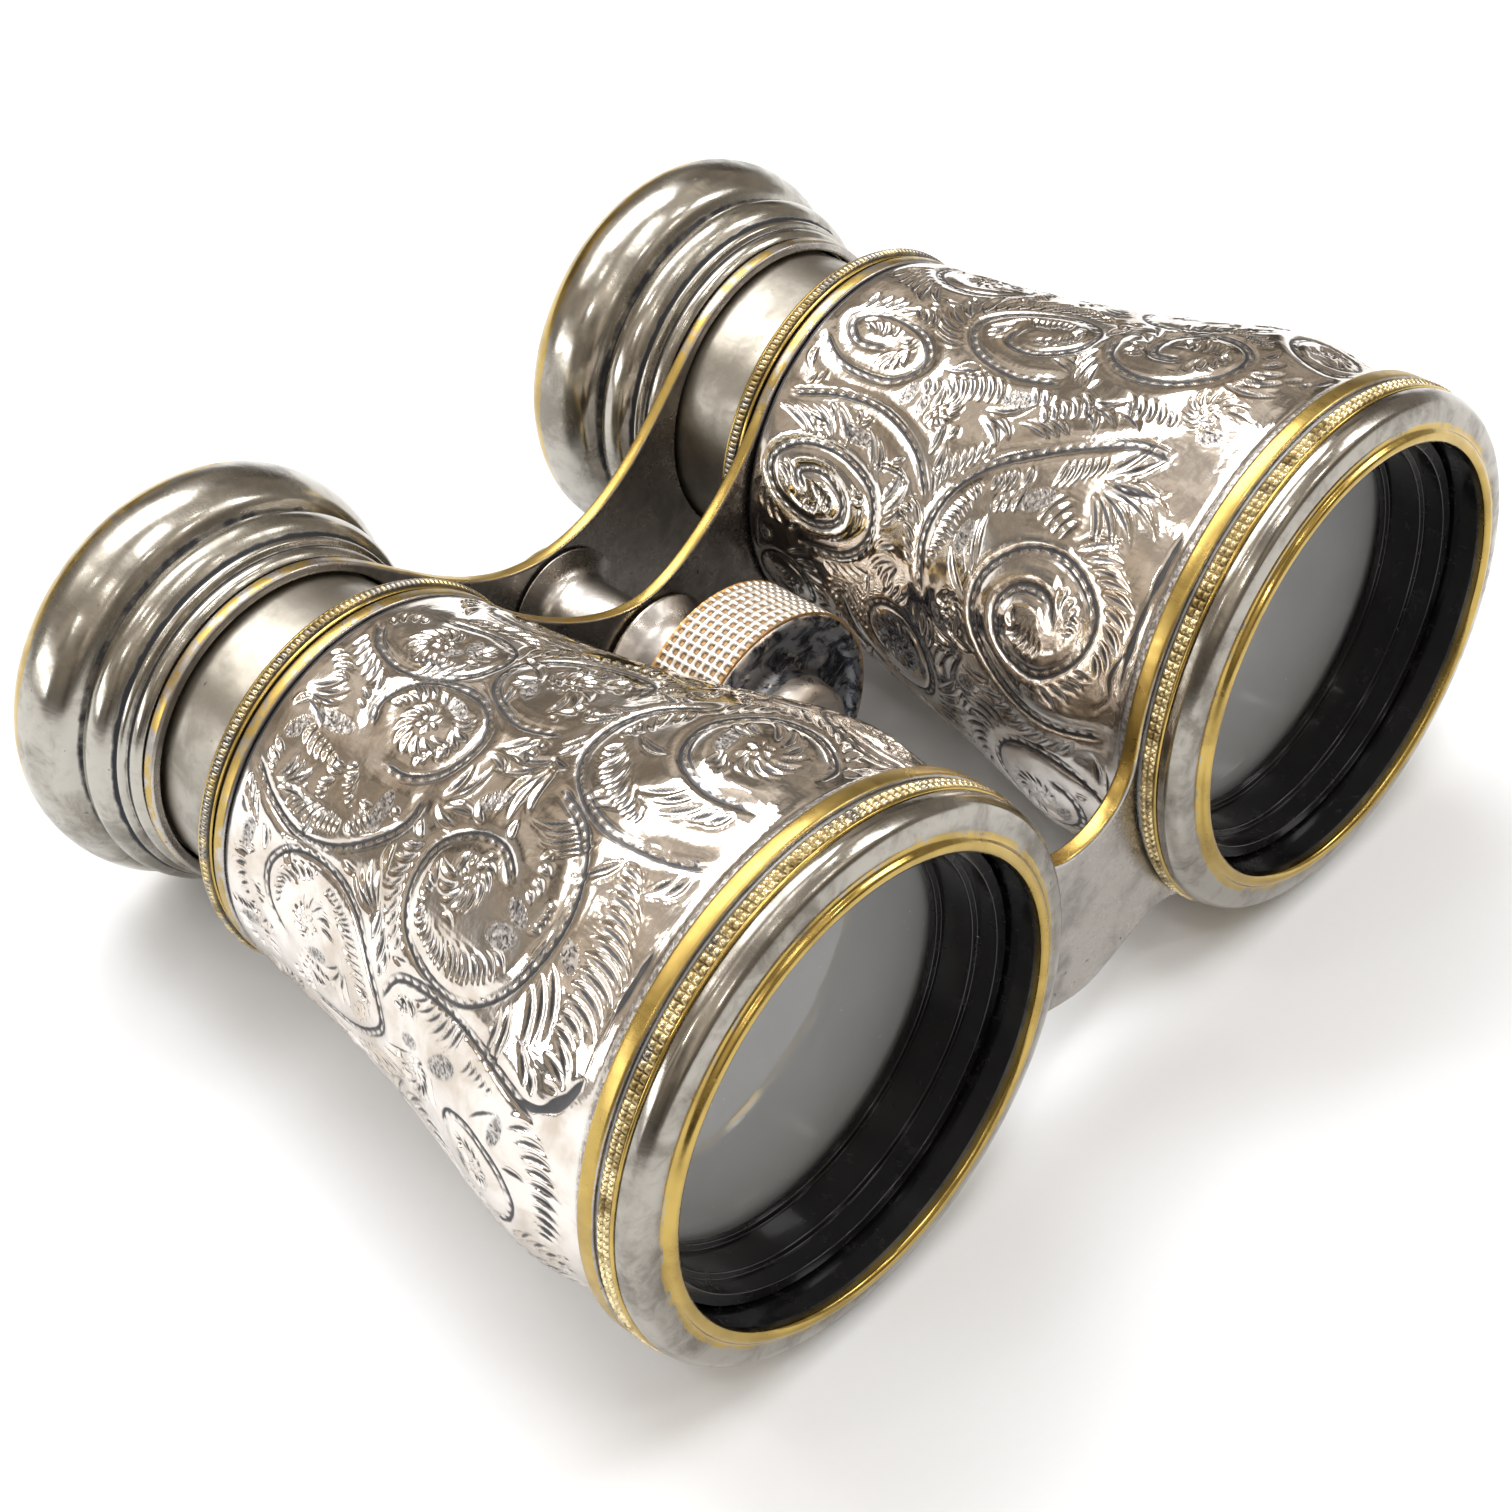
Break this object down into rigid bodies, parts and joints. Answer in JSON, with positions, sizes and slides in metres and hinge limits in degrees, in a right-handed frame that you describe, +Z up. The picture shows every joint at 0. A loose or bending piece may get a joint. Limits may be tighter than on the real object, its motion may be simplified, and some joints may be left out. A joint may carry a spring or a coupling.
{
  "type": "opera glasses",
  "caption": "Antique opera glasses with engraved silver barrels, brass-edged bridge plates, stepped eyecups and a central wheel that slides the eyepieces to focus.",
  "frame": {"origin": "middle of the bounding box on the surface that the glasses lie on", "axes": "+X across both barrels, from the left barrel (the one at -X) to the right one; -Y towards the objectives and +Y towards the eyecups; +Z up. The optical axes tip down by 3.68 degrees towards +Y, as the glasses lie on the front bridge's rings and on the eyecups."},
  "size_m": [0.111, 0.0866, 0.0491],
  "materials": {
    "engraved_silver": "engraved and chased silver plate over brass, polished, dark in the cuts",
    "silver_plate": "polished silver plate over brass, tarnished and worn to brass on the edges",
    "worn_brass": "knurled brass with worn plate",
    "tarnished_plate": "square-knurled rim with a dark mottled face",
    "black_lacquer": "worn black lacquer, semi-gloss",
    "optical_glass": "clear polished glass",
    "felt": "dark felt",
    "steel": "turned steel"
  },
  "bodies": {
    "frame": {"left_engraved_sheath": "engraved_silver", "left_body_tube": "black_lacquer", "left_objective_cell": "silver_plate", "left_retaining_ring": "black_lacquer", "left_objective_crown_lens": "optical_glass", "left_objective_flint_lens": "optical_glass", "left_light_baffle": "black_lacquer", "left_end_collar": "worn_brass", "left_guide_bush": "felt", "right_engraved_sheath": "engraved_silver", "right_body_tube": "black_lacquer", "right_objective_cell": "silver_plate", "right_retaining_ring": "black_lacquer", "right_objective_crown_lens": "optical_glass", "right_objective_flint_lens": "optical_glass", "right_light_baffle": "black_lacquer", "right_end_collar": "worn_brass", "right_guide_bush": "felt", "front_bridge": "silver_plate", "rear_bridge": "silver_plate", "focus_housing": "silver_plate"},
    "wheel": {"focus_wheel": "tarnished_plate", "focus_spindle": "steel", "wheel_screw": "silver_plate", "spindle_collar": "steel"},
    "carriage": {"left_draw_tube": "silver_plate", "left_eyecup": "silver_plate", "left_eye_lens": "optical_glass", "left_eye_lens_ring": "black_lacquer", "right_draw_tube": "silver_plate", "right_eyecup": "silver_plate", "right_eye_lens": "optical_glass", "right_eye_lens_ring": "black_lacquer", "eyepiece_bridge": "silver_plate", "drive_nut": "silver_plate", "nut_cap": "silver_plate"}
  },
  "joints": [
    {"name": "wheel_turn", "type": "hinge", "parent": "frame", "child": "wheel", "pos_m": [0, 0.00055, 0.0149], "axis": [0, 0.9979, -0.0642], "range_deg": [-378.2, 63.2]},
    {"name": "eyepiece_slide", "type": "slide", "parent": "frame", "child": "carriage", "axis": [0, 0.9979, -0.0642], "range_m": [-0.0084, 0.0014]}
  ],
  "couplings": [
    {"joint": "wheel_turn", "follows": "eyepiece_slide", "rad_per_m": 785.4}
  ]
}
